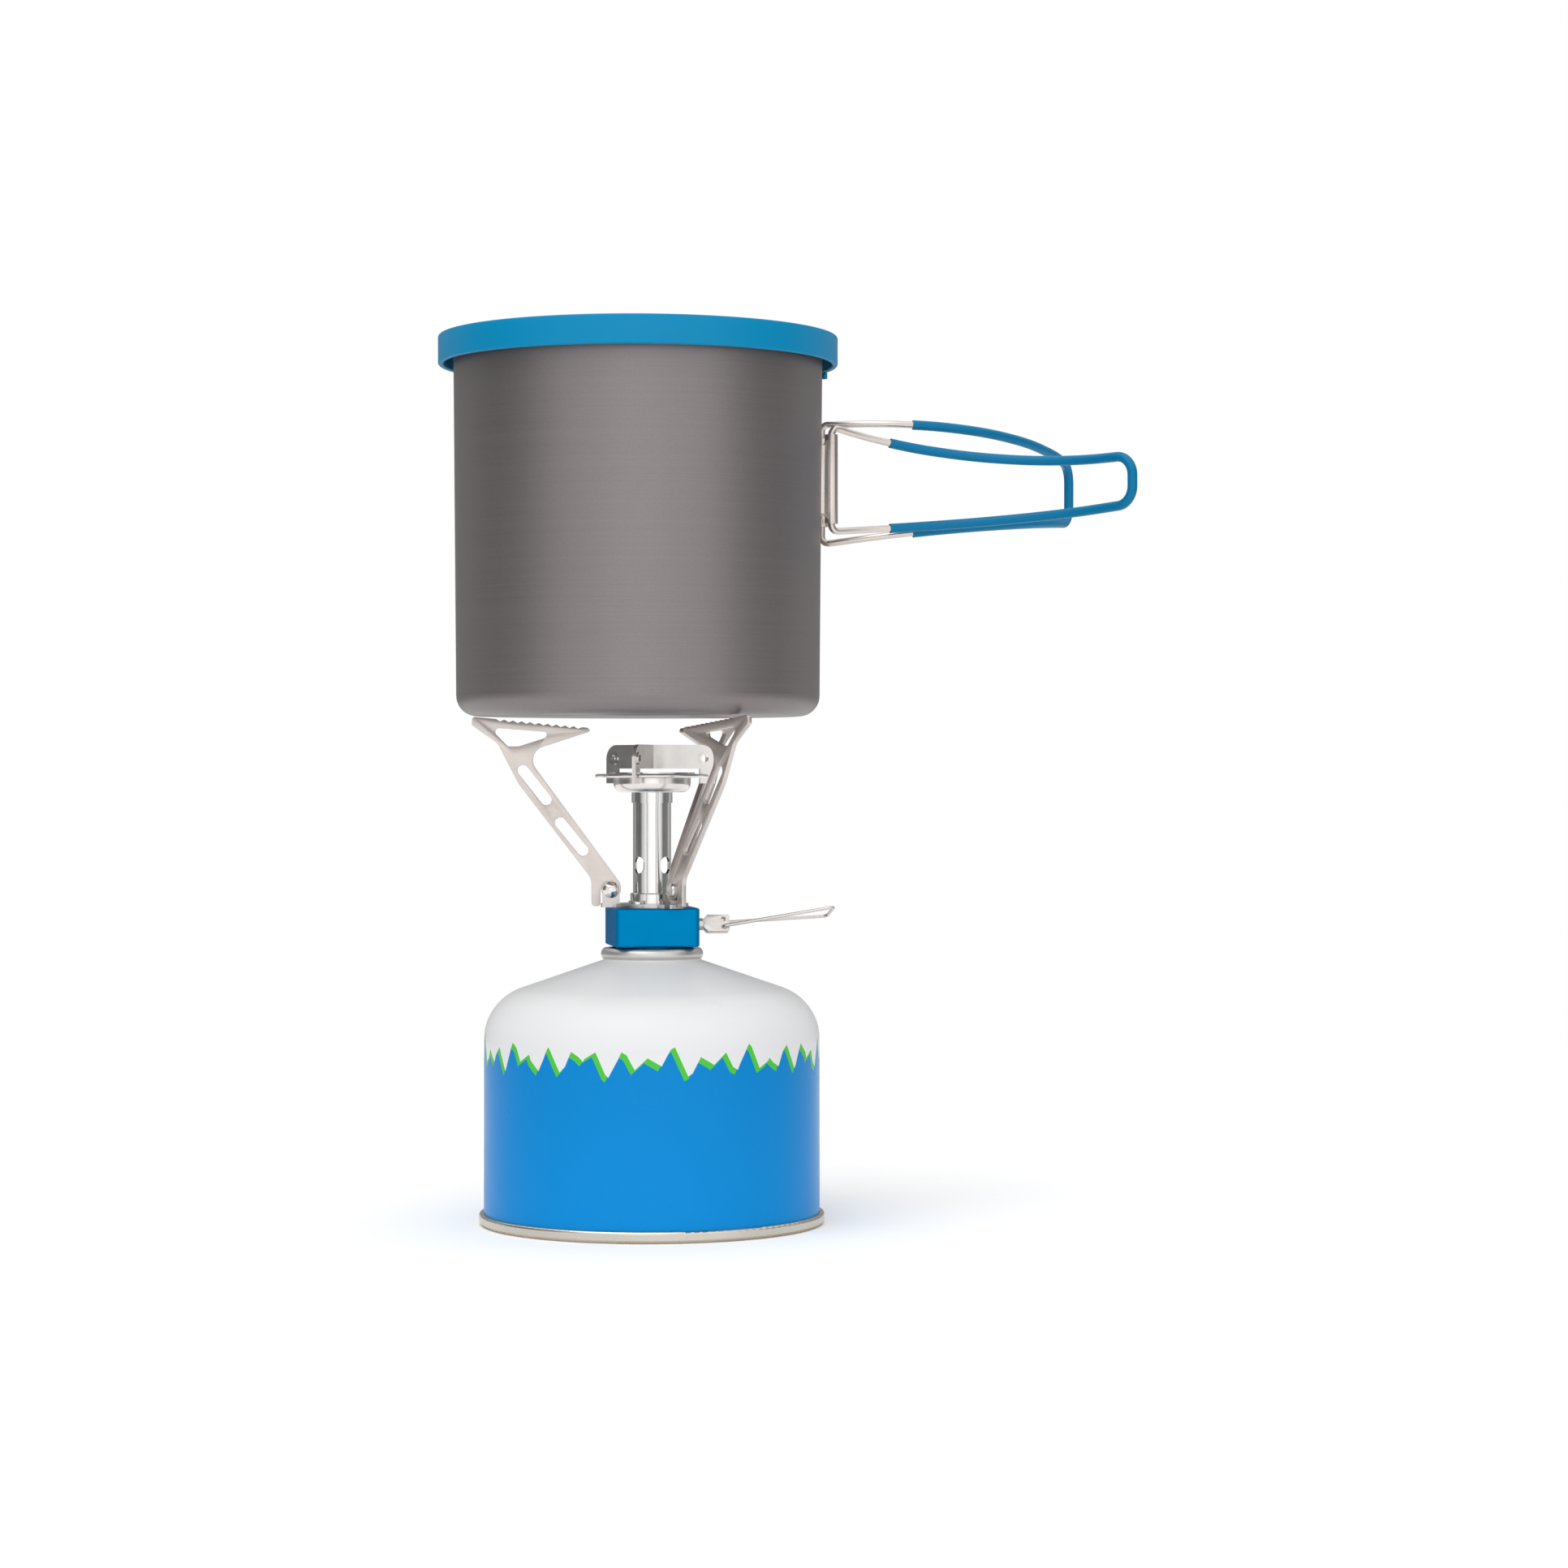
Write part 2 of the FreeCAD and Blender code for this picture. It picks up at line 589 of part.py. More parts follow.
def support_arm(azimuth):
    foot_in = LOBE_EDGE - PIVOT_R + 0.15
    nose = ARM_REACH - 35.3
    tip = ARM_REACH + 0.9
    foot = [(6.15, 3.4, 6.0), (6.15, -5.2, 1.0), (foot_in, -5.2, 0.9), (foot_in, 0, 0)]
    outline = [(-ARM_END_R, 0, 0), (-ARM_END_R, 1.82, 3.0)]
    outline += from_tip([(-15.44, -11.3, 4.4), (-36.4, -4.45, 0.5)])
    outline += [(nose, arm_top(nose), 0.5), (tip, arm_top(tip), 0.9)]
    outline += from_tip([(1.05, -2.6, 0.8), (-7.0, -8.25, 5.0), (-13.6, -21.05, 18.0)])
    outline += foot
    window = from_tip([
        (-4.5, -3.25, 1.2), (-10.3, -9.25, 1.5), (-13.7, -9.25, 1.2), (-22.1, -6.55, 0.8),
        (-22.9, -4.75, 0.8),
    ])
    plate = upright(outline, ARM_T, -ARM_T / 2)
    plate = plate.fuse(Part.makeCylinder(ARM_END_R, ARM_T, V(0, -ARM_T / 2, 0), V(0, 1, 0)))
    cuts = [hole_along_y(0, 0, RIVET_R + RUN), upright(window, ARM_T + 2, -ARM_T / 2 - 1)]
    slots = from_tip([(-33.9, -42.05, 0), (-26.8, -33.35, 0), (-22.3, -26.0, 0), (-15.05, -16.85, 0)])
    for low, high in (slots[:2], slots[2:]):
        cuts.append(slot_cutter(low, high, SLOT_HALF))
    first = ARM_REACH - 9.2 + TOOTH_PITCH / 2
    half = TOOTH_PITCH / 2 - 0.12
    for i in range(TEETH + 1):
        s = first - i * TOOTH_PITCH
        valley = [
            (s - half, arm_top(s - half) + 0.01, 0), (s, arm_top(s) - TOOTH_DEPTH, 0),
            (s + half, arm_top(s + half) + 0.01, 0), (s, arm_top(s) + 1, 0),
        ]
        cuts.append(upright(valley, ARM_T + 2, -ARM_T / 2 - 1))
    plate = plate.cut(cuts).removeSplitter()
    return spun(plate.translated(V(PIVOT_R, 0, PIVOT_Z)), azimuth)


def slot_cutter(low, high, half):
    along = V(high[0] - low[0], 0, high[1] - low[1])
    across = V(along.z, 0, -along.x).normalize() * half
    a = V(low[0], -5, low[1])
    b = V(high[0], -5, high[1])
    sides = flat([(a - across, 0), (b - across, 0), (b + across, 0), (a + across, 0)])
    ends = [Part.makeCylinder(half, 10, p, V(0, 1, 0)) for p in (a, b)]
    return sides.extrude(V(0, 10, 0)).fuse(ends)


# ---- burner ----
def tube_washer():
    return ring(WASHER_R, JET_R + 0.7, TUBE_FOOT - WASHER_T, TUBE_FOOT)


def tube_collar():
    collar = ring(COLLAR_R, TUBE_R, TUBE_FOOT, TUBE_FOOT + COLLAR_H)
    edges = [e for e in collar.Edges if e.BoundBox.XLength > 2 * COLLAR_R - 0.1]
    return collar.makeChamfer(0.3, [e for e in edges if e.BoundBox.ZMin > TUBE_FOOT + 1])


def burner_tube():
    tube = ring(TUBE_R, TUBE_R - TUBE_WALL, TUBE_FOOT, TUBE_TOP)
    half = AIR_HOLE_W / 2
    reach = (AIR_HOLE_H - AIR_HOLE_W) / 2
    for i in range(4):
        ends = [Part.makeCylinder(half, 9, V(0, 0, AIR_HOLE_Z + d), V(1, 0, 0)) for d in (-reach, reach)]
        middle = Part.makeBox(9, AIR_HOLE_W, 2 * reach, V(0, -half, AIR_HOLE_Z - reach))
        hole = middle.fuse(ends)
        tube = tube.cut(spun(hole, AIR_HOLE_AZIMUTH + 90 * i))
    return tube


def head_collar():
    return ring(HEAD_COLLAR_R, TUBE_R, HEAD_COLLAR_Z, CUP_BOTTOM)


def burner_cup():
    lip = HEAD_R - HEAD_T
    low = CUP_BOTTOM + HEAD_CORNER
    inner_corner = HEAD_CORNER - HEAD_T
    mid = math.sqrt(0.5)
    turn_r = HEAD_R - HEAD_CORNER
    rim = FLANGE_R - RIM_R
    cup = turned([
        (TUBE_R, CUP_BOTTOM), (turn_r, CUP_BOTTOM),
        (turn_r + HEAD_CORNER * mid, low - HEAD_CORNER * mid, "arc"), (HEAD_R, low),
        (HEAD_R, FLANGE_Z), (rim, FLANGE_Z), (rim, FLANGE_Z + FLANGE_T), (lip, FLANGE_Z + FLANGE_T),
        (lip, low), (turn_r + inner_corner * mid, low - inner_corner * mid, "arc"),
        (turn_r, CUP_BOTTOM + HEAD_T), (TUBE_R, CUP_BOTTOM + HEAD_T),
    ])
    cup = cup.fuse(Part.makeTorus(rim, RIM_R, V(0, 0, FLANGE_Z + FLANGE_T / 2)))
    half = VANE_T + NOTCH_CLEAR
    for azimuth in VANE_AZIMUTHS:
        notch = Part.makeBox(6, 2 * half, 4, V(VANE_TAB_R - 0.3, -half, FLANGE_Z - 2))
        cup = cup.cut(spun(notch, azimuth))
    return cup.removeSplitter()


def port_plate():
    z0 = FLANGE_Z + FLANGE_T
    plate = Part.makeCylinder(PLATE_R, PLATE_T, V(0, 0, z0))
    holes = []
    for r, count in ((HEAD_R - 8.2, 10), (HEAD_R - 5.7, 16), (HEAD_R - 3.2, 22)):
        for i in range(count):
            at = plan(360 * i / count, r, z0 - 1)
            holes.append(Part.makeCylinder(0.45, PLATE_T + 2, at))
    return plate.cut(holes)


def vane(azimuth):
    a0 = plan(azimuth)
    a1 = plan(azimuth + 120)
    side0 = plan(azimuth + 90)
    side1 = plan(azimuth + 30)
    middle = plan(azimuth + 60)
    root = math.sin(math.radians(60))
    gap = 0.01
    reach = VANE_R + 4
    corners = [
        middle * (gap / root), a0 * reach + side0 * gap, a0 * reach + side0 * VANE_T,
        middle * (VANE_T / root), a1 * reach + side1 * VANE_T, a1 * reach + side1 * gap,
    ]
    fold = flat([(c + V(0, 0, VANE_TAB_Z - 1), 0) for c in corners]).extrude(V(0, 0, 20))
    low, high = VANE_Z
    mid = VANE_CORNER * (1 - math.sqrt(0.5))
    outline = turned([
        (0, low), (VANE_TAB_R, low), (VANE_TAB_R, VANE_TAB_Z), (VANE_R, VANE_TAB_Z),
        (VANE_R, high - VANE_CORNER), (VANE_R - mid, high - mid, "arc"), (VANE_R - VANE_CORNER, high),
        (0, high),
    ])
    fold = fold.common(outline)
    for turn in (azimuth, azimuth + 120):
        fold = fold.cut(spun(hole_along_y(EYELET_R, EYELET_Z, 1.5), turn))
    return fold


def vane_eyelets():
    eyelets = []
    for azimuth in VANE_AZIMUTHS:
        parts = [Part.makeCylinder(1.5, 2 * VANE_T, V(0, -VANE_T, 0), V(0, 1, 0))]
        for side in (-1, 1):
            parts.append(Part.makeCylinder(1.95, 0.35, V(0, side * VANE_T, 0), V(0, side, 0)))
        body = parts[0].fuse(parts[1:]).cut(hole_along_y(0, 0, 1.15))
        eyelets.append(spun(body.translated(V(EYELET_R, 0, EYELET_Z)), azimuth))
    return Part.makeCompound(eyelets)


# ---- pot ----
def pot_radius(z):
    low = POT_Z + POT_CORNER
    return POT_R_LOW + (POT_R_TOP - POT_R_LOW) * (z - low) / (POT_RIM_TOP - low)


def pot_body():
    low = POT_Z + POT_CORNER
    rim_z = POT_RIM_TOP - POT_RIM_R
    mid = math.sqrt(0.5)
    turn_r = POT_R_LOW - POT_CORNER
    inner = POT_CORNER - POT_WALL
    pot = turned([
        (0, POT_Z), (turn_r, POT_Z), (turn_r + POT_CORNER * mid, low - POT_CORNER * mid, "arc"),
        (POT_R_LOW, low), (pot_radius(rim_z), rim_z), (pot_radius(rim_z) - POT_WALL, rim_z),
        (POT_R_LOW - POT_WALL, low), (turn_r + inner * mid, low - inner * mid, "arc"),
        (turn_r, POT_Z + POT_WALL), (0, POT_Z + POT_WALL),
    ])
    bead = Part.makeTorus(POT_RIM_OUT - POT_RIM_R, POT_RIM_R, V(0, 0, rim_z))
    return pot.fuse(bead).cut(rivet_holes()).translated(V(POT_X, 0, 0))


def handle_bracket():
    z0, z1 = BRACKET_Z
    r0 = pot_radius(z0)
    r1 = pot_radius(z1)
    saddle = turned([(r0, z0), (r0 + BRACKET_T, z0), (r1 + BRACKET_T, z1), (r1, z1)])
    window = Part.makeBox(POT_R_TOP, 2 * BRACKET_HALF_W, 60, V(POT_R_LOW / 2, -BRACKET_HALF_W, z0 - 10))
    body = saddle.common(window)
    c0, c1 = CURL_Z
    bore = HANDLE_R + RUN
    for side in (-1, 1):
        at = V(HINGE_X, side * HINGE_Y, 0)
        foot = V(pot_radius(z0), 0, 0)
        foot = V(math.sqrt(foot.x ** 2 - WING_FOOT_Y ** 2) + 0.75, side * WING_FOOT_Y, 0)
        across = (foot - at).cross(UP).normalize() * (WING_T / 2)
        corners = [at + V(0, 0, c0), at + V(0, 0, c1), foot + V(0, 0, z1), foot + V(0, 0, z0)]
        wing = flat([(c - across, 0) for c in corners]).extrude(across * 2)
        curl = Part.makeCylinder(bore + CURL_T, c1 - c0, at + V(0, 0, c0))
        body = body.fuse([wing, curl])
    for side in (-1, 1):
        at = V(HINGE_X, side * HINGE_Y, z0 - 5)
        body = body.cut(Part.makeCylinder(bore, z1 - z0 + 10, at))
    body = body.cut(rivet_holes())
    return body.removeSplitter().translated(V(POT_X, 0, 0))


def rivet_heights():
    return BRACKET_Z[0] + 6, BRACKET_Z[1] - 6


def rivet_holes():
    return [Part.makeCylinder(1.0, 12, V(pot_radius(z) - 6, 0, z), V(1, 0, 0)) for z in rivet_heights()]


def bracket_rivets():
    rivets = []
    for z in rivet_heights():
        outside = pot_radius(z) + BRACKET_T + 0.02
        inside = pot_radius(z) - POT_WALL - 0.05
        head = Part.makeCylinder(1.8, 0.9, V(outside, 0, z), V(1, 0, 0))
        shank = Part.makeCylinder(1.0, outside - inside, V(inside, 0, z), V(1, 0, 0))
        tail = Part.makeCylinder(1.6, 0.8, V(inside, 0, z), V(-1, 0, 0))
        rivets.append(head.fuse([shank, tail]))
    return Part.makeCompound(rivets).translated(V(POT_X, 0, 0))


# ---- handles ----
class Loop:
    """One wire handle: a loop lying on an upright cylinder, hinged on an upright line."""

    def __init__(self, side, top, low, end_radius, first):
        self.side = side
        self.top = (BRACKET_MID + top[0], BRACKET_MID + top[1], top[2])
        self.low = (BRACKET_MID + low[0], BRACKET_MID + low[1], low[2])
        self.end_radius = end_radius
        self.stations = [first + i * GRIP_STEP for i in range(5)]

    def point(self, length, z):
        start = math.radians(GRIP_START)
        turn = start - length / GRIP_RADIUS
        x = HINGE_X + GRIP_RADIUS * (math.sin(start) - math.sin(turn))
        y = -HINGE_Y - GRIP_RADIUS * (math.cos(start) - math.cos(turn))
        return V(POT_X + x, -self.side * y, z)

    def leg(self, heights, length):
        start, end, bow = heights
        u = length / GRIP_LENGTH
        return self.point(length, start + (end - start) * u + 4 * bow * u * (1 - u))

    def corners(self):
        """The bends between the two hinge ends, out along the top leg and back along the low one."""
        stations = [s for s in self.stations if s < GRIP_LENGTH - 12]
        out = [(self.leg(self.top, s), GRIP_ARC) for s in stations]
        back = [(self.leg(self.low, s), GRIP_ARC) for s in reversed(stations)]
        end = [(self.leg(h, GRIP_LENGTH), self.end_radius) for h in (self.top, self.low)]
        return out + end + back

    def wire(self):
        middle = (self.top[0] + self.low[0]) / 2
        first = [(self.point(0, middle + STUB_GAP / 2), 0), (self.point(0, self.top[0]), HINGE_BEND)]
        last = [(self.point(0, self.low[0]), HINGE_BEND), (self.point(0, middle - STUB_GAP / 2), 0)]
        return pipe(rounded_edges(first + self.corners() + last, closed=False), HANDLE_R)

    def sleeve(self):
        bends = self.corners()
        first = (bends[0][0] + bends[1][0]) * 0.5
        last = (bends[-1][0] + bends[-2][0]) * 0.5
        path = rounded_edges([(first, 0)] + bends[1:-1] + [(last, 0)], closed=False)
        return pipe(path, SLEEVE_R).cut(pipe(path, HANDLE_R + SLEEVE_FIT))


# each leg: its height at the hinge and at its end, from the bracket's middle, and its bow
FRONT = Loop(-1, (17.05, 6.85, -3.9), (-16.15, -8.25, 0.0), 6.0, 12.0)
REAR = Loop(1, (19.05, 9.15, 3.5), (-19.25, -9.35, 1.2), 6.5, 20.5)


# ---- lid ----
def lid():
    inner = LID_R - LID_WALL
    under = LID_TOP - LID_T
    ring_out = POT_R_TOP - POT_WALL - LID_RING_CLEAR
    ring_in = ring_out - LID_RING_T
    body = turned([
        (0, under), (ring_in, under), (ring_in, under - LID_RING_H), (ring_out, under - LID_RING_H),
        (ring_out, under), (inner, under), (inner, LID_SKIRT_Z), (LID_R, LID_SKIRT_Z),
        (LID_R, LID_TOP - 1.0), (LID_R - 0.3, LID_TOP - 0.3, "arc"), (LID_R - 1.0, LID_TOP), (0, LID_TOP),
    ])
    tab = Part.makeBox(LID_WALL, 2.0, 2.2, V(inner, -1.0, LID_SKIRT_Z - 2.0))
    return body.fuse(spun(tab, TAB_AZIMUTH)).translated(V(POT_X, 0, 0))


NODES = {
    "canister_shell": canister_shell,
    "canister_base": canister_base,
    "valve_cup": valve_cup,
    "cup_gasket": cup_gasket,
    "stem_gasket": stem_gasket,
    "valve_housing": valve_housing,
    "valve_stem": valve_stem,
    "valve_spring": valve_spring,
    "valve_block": valve_block,
    "inlet_seal": inlet_seal,
    "inlet_filter": inlet_filter,
    "actuator_pin": actuator_pin,
    "gland_nut": gland_nut,
    "jet": jet,
    "valve_spindle": valve_spindle,
    "spindle_seal": spindle_seal,
    "control_yoke": control_yoke,
    "control_wire": control_wire,
    "support_bracket": support_bracket,
    "bracket_screws": bracket_screws,
    "arm_rivets": arm_rivets,
    "tube_washer": tube_washer,
    "tube_collar": tube_collar,
    "burner_tube": burner_tube,
    "head_collar": head_collar,
    "burner_cup": burner_cup,
    "port_plate": port_plate,
    "vane_eyelets": vane_eyelets,
    "pot_body": pot_body,
    "handle_bracket": handle_bracket,
    "bracket_rivets": bracket_rivets,
    "front_handle_wire": FRONT.wire,
    "front_handle_sleeve": FRONT.sleeve,
    "rear_handle_wire": REAR.wire,
    "rear_handle_sleeve": REAR.sleeve,
    "lid": lid,
}

os.makedirs("parts", exist_ok=True)
for name, make in NODES.items():
    make().exportStep("parts/" + name + ".step")
for name, azimuth in ARM_AZIMUTHS.items():
    support_arm(azimuth).exportStep("parts/" + name + ".step")
for letter, azimuth in zip("abc", VANE_AZIMUTHS):
    vane(azimuth).exportStep("parts/vane_" + letter + ".step")
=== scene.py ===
import bpy
import json
import math
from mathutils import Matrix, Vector


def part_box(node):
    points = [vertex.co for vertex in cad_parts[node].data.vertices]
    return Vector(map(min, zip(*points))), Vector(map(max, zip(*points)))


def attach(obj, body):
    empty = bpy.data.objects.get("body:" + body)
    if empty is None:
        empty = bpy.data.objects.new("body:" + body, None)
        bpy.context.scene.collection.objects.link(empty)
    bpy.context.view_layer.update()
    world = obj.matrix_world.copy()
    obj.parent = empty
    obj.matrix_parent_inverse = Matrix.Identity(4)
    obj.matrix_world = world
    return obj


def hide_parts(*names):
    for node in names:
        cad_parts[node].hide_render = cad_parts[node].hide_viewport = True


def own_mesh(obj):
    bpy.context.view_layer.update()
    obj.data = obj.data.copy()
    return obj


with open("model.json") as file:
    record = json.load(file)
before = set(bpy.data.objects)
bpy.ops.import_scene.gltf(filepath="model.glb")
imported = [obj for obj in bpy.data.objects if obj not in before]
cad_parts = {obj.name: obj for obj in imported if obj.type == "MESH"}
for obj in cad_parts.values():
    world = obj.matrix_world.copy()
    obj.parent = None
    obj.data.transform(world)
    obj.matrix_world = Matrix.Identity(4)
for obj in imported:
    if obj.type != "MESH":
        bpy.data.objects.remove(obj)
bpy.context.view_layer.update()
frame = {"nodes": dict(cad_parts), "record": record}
NODES = frame["nodes"]
BODY_OF = {n: b for b, names in frame["record"]["behaviour"]["bodies"].items() for n in names}
SLOT_OF = {s["node"]: s["material_slot"] for s in frame["record"]["subparts"]}

MM = 0.001

# ---- camera and studio ----
EYE = Vector((-0.1697, -1.1441, 0.1425))
VIEW_TURN = 10.5                # degrees the view is turned from +Y towards +X
LENS = 84.1
SENSOR = 36.0
SHIFT_Y = -0.00844


def add_camera():
    bpy.ops.object.camera_add(location=EYE, rotation=(math.radians(90), 0, -math.radians(VIEW_TURN)))
    camera = bpy.context.object
    camera.data.lens = LENS
    camera.data.sensor_width = SENSOR
    camera.data.shift_y = SHIFT_Y
    camera.data.clip_start = 0.05
    bpy.context.scene.camera = camera


# brightness of the studio all round, from behind the object to in front of it
ROOM_TONES = (
    (0.0, 0.30), (0.14, 0.38), (0.24, 0.58), (0.34, 0.22), (0.66, 0.17), (0.78, 0.85), (0.925, 1.25), (0.945, 0.35),
    (0.965, 1.35), (1.0, 1.45),
)
FLOOR_RADIUS = 0.85
FLOOR_SIDES = 96
ROOM_SIDE = 0.16                # how much brighter the right-hand side is
CEILING = 1.22
CEILING_FROM = 0.45             # how high the walls reach, as a share of straight up
CEILING_FULL = 0.75
SUN_FROM = (-0.5, -0.55, 1.3)
SUN_STRENGTH = 0.85
SUN_SPREAD = 50                 # degrees


def add_sun():
    """A very soft key light."""
    bpy.ops.object.light_add(type="SUN", location=SUN_FROM)
    sun = bpy.context.object
    sun.data.energy = SUN_STRENGTH
    sun.data.angle = math.radians(SUN_SPREAD)
    sun.rotation_euler = (-Vector(SUN_FROM)).to_track_quat("-Z", "Y").to_euler()


def add_room():
    """White paper behind, dark flags at both sides, a large diffuser in front and one overhead."""
    world = bpy.data.worlds.new("studio_room")
    bpy.context.scene.world = world
    world.use_nodes = True
    tree = world.node_tree
    tree.nodes.clear()
    add = tree.nodes.new
    link = tree.links.new
    place = add("ShaderNodeTexCoord").outputs["Generated"]
    split = add("ShaderNodeSeparateXYZ")
    link(place, split.inputs[0])
    turn = math.radians(VIEW_TURN)

    def level(x, y, shift):
        """The direction's share along this level heading, moved by shift."""
        sum_x = add("ShaderNodeMath")
        sum_x.operation = "MULTIPLY_ADD"
        sum_x.inputs[1].default_value = x
        sum_x.inputs[2].default_value = shift
        link(split.outputs[0], sum_x.inputs[0])
        sum_y = add("ShaderNodeMath")
        sum_y.operation = "MULTIPLY_ADD"
        sum_y.inputs[1].default_value = y
        link(split.outputs[1], sum_y.inputs[0])
        link(sum_x.outputs[0], sum_y.inputs[2])
        return sum_y.outputs[0]

    front = level(-math.sin(turn) / 2, -math.cos(turn) / 2, 0.5)
    right = level(math.cos(turn) * ROOM_SIDE, -math.sin(turn) * ROOM_SIDE, 1.0)
    ramp = add("ShaderNodeValToRGB")
    ramp.color_ramp.interpolation = "EASE"
    while len(ramp.color_ramp.elements) < len(ROOM_TONES):
        ramp.color_ramp.elements.new(0.5)
    brightest = max(tone for _, tone in ROOM_TONES)
    for stop, (position, tone) in zip(ramp.color_ramp.elements, ROOM_TONES):
        stop.position = position
        stop.color = (tone / brightest, tone / brightest, tone / brightest, 1)
    link(front, ramp.inputs[0])
    walls = add("ShaderNodeMath")
    walls.operation = "MULTIPLY"
    link(ramp.outputs[0], walls.inputs[0])
    link(right, walls.inputs[1])
    overhead = add("ShaderNodeMapRange")
    overhead.inputs["From Min"].default_value = CEILING_FROM
    overhead.inputs["From Max"].default_value = CEILING_FULL
    link(split.outputs[2], overhead.inputs["Value"])
    blend = add("ShaderNodeMix")
    blend.data_type = "FLOAT"
    link(overhead.outputs[0], blend.inputs[0])
    link(walls.outputs[0], blend.inputs[2])
    blend.inputs[3].default_value = CEILING / brightest
    air = add("ShaderNodeBackground")
    air.inputs["Strength"].default_value = brightest
    link(blend.outputs[0], air.inputs["Color"])
    backdrop = add("ShaderNodeBackground")
    backdrop.inputs["Color"].default_value = (1, 1, 1, 1)
    path = add("ShaderNodeLightPath")
    choice = add("ShaderNodeMixShader")
    link(path.outputs["Is Camera Ray"], choice.inputs[0])
    link(air.outputs[0], choice.inputs[1])
    link(backdrop.outputs[0], choice.inputs[2])
    out = add("ShaderNodeOutputWorld")
    link(choice.outputs[0], out.inputs["Surface"])


def add_studio():
    """Room, soft sun and a small round sheet of paper under the canister."""
    add_room()
    add_sun()
    bpy.ops.mesh.primitive_circle_add(vertices=FLOOR_SIDES, radius=FLOOR_RADIUS, fill_type="NGON")
    floor = bpy.context.object
    floor.name = "studio_floor"
    paper = Finish("floor_paper", (0.96, 0.96, 0.96), 0.9)
    paper.mottle(scale=3.0, amount=0.01)
    floor.data.materials.append(paper.material)
    bpy.context.scene.view_settings.view_transform = "Standard"


# ---- finishes ----
NOISE_LOW = 0.15                # the span that a noise pattern keeps within
NOISE_HIGH = 0.85
GRAIN_LOW = 0.3                 # the narrower span of the pot's lathe lines
GRAIN_HIGH = 0.7
INK_EDGE = 0.12 * MM            # how soft the edge between two printed colours is


class Finish:
    """A surface finish built from the piece's own coordinates."""

    def __init__(self, name, colour, roughness, metallic=0.0):
        self.material = bpy.data.materials.new(name)
        self.material.use_nodes = True
        self.tree = self.material.node_tree
        self.shader = self.tree.nodes["Principled BSDF"]
        self.roughness = roughness
        self.shader.inputs["Base Color"].default_value = (*colour, 1)
        self.shader.inputs["Roughness"].default_value = roughness
        self.shader.inputs["Metallic"].default_value = metallic
        self.base = self.rgb(colour)
        self.height = None
        self.place = self.add("ShaderNodeTexCoord").outputs["Object"]

    def add(self, kind, **settings):
        node = self.tree.nodes.new(kind)
        for key, value in settings.items():
            setattr(node, key, value)
        return node

    def link(self, source, target):
        self.tree.links.new(source, target)

    def rgb(self, colour):
        node = self.add("ShaderNodeRGB")
        node.outputs[0].default_value = (*colour, 1)
        return node.outputs[0]

    def math(self, operation, a, b=0.0):
        node = self.add("ShaderNodeMath", operation=operation)
        for socket, value in zip(node.inputs, (a, b)):
            if isinstance(value, (int, float)):
                socket.default_value = value
            else:
                self.link(value, socket)
        return node.outputs[0]

    def mix(self, factor, a, b):
        node = self.add("ShaderNodeMix", data_type="RGBA")
        for socket, value in zip((node.inputs[0], node.inputs[6], node.inputs[7]), (factor, a, b)):
            if isinstance(value, tuple):
                socket.default_value = (*value, 1)
            elif isinstance(value, (int, float)):
                socket.default_value = value
            else:
                self.link(value, socket)
        return node.outputs[2]

    def stretched(self, scale):
        node = self.add("ShaderNodeMapping")
        node.inputs["Scale"].default_value = scale
        self.link(self.place, node.inputs["Vector"])
        return node.outputs[0]

    def noise(self, scale, detail=3.0, rough=0.55, stretch=(1, 1, 1)):
        node = self.add("ShaderNodeTexNoise")
        node.inputs["Scale"].default_value = scale
        node.inputs["Detail"].default_value = detail
        node.inputs["Roughness"].default_value = rough
        self.link(self.stretched(stretch), node.inputs["Vector"])
        return node.outputs["Fac"]

    def band(self, value, low, high, to_low=0.0, to_high=1.0):
        node = self.add("ShaderNodeMapRange")
        for key, number in zip(("From Min", "From Max", "To Min", "To Max"), (low, high, to_low, to_high)):
            node.inputs[key].default_value = number
        self.link(value, node.inputs["Value"])
        return node.outputs[0]

    def set_base(self, socket):
        self.base = socket
        self.link(socket, self.shader.inputs["Base Color"])

    def mottle(self, scale, amount, stretch=(1, 1, 1)):
        """Slow lightening and darkening of the colour."""
        pattern = self.noise(scale, 2.0, 0.5, stretch)
        wave = self.band(pattern, NOISE_LOW, NOISE_HIGH, 1 - amount, 1 + amount)
        node = self.add("ShaderNodeVectorMath", operation="SCALE")
        self.link(self.base, node.inputs[0])
        self.link(wave, node.inputs["Scale"])
        self.set_base(node.outputs[0])

    def vary_gloss(self, scale, amount, stretch=(1, 1, 1)):
        """Slow changes of gloss, to either side of the finish's own roughness."""
        pattern = self.noise(scale, 2.0, 0.5, stretch)
        low = self.roughness - amount
        wave = self.band(pattern, NOISE_LOW, NOISE_HIGH, low, self.roughness + amount)
        self.link(wave, self.shader.inputs["Roughness"])

    def relief(self, value, depth):
        """Adds one layer of surface relief, of this depth in metres."""
        node = self.add("ShaderNodeBump")
        node.inputs["Distance"].default_value = depth
        node.inputs["Strength"].default_value = 1.0
        self.link(value, node.inputs["Height"])
        if self.height is not None:
            self.link(self.height, node.inputs["Normal"])
        self.height = node.outputs[0]
        self.link(self.height, self.shader.inputs["Normal"])

    def coat(self, weight, roughness):
        """A clear lacquer over the finish."""
        self.shader.inputs["Coat Weight"].default_value = weight
        self.shader.inputs["Coat Roughness"].default_value = roughness


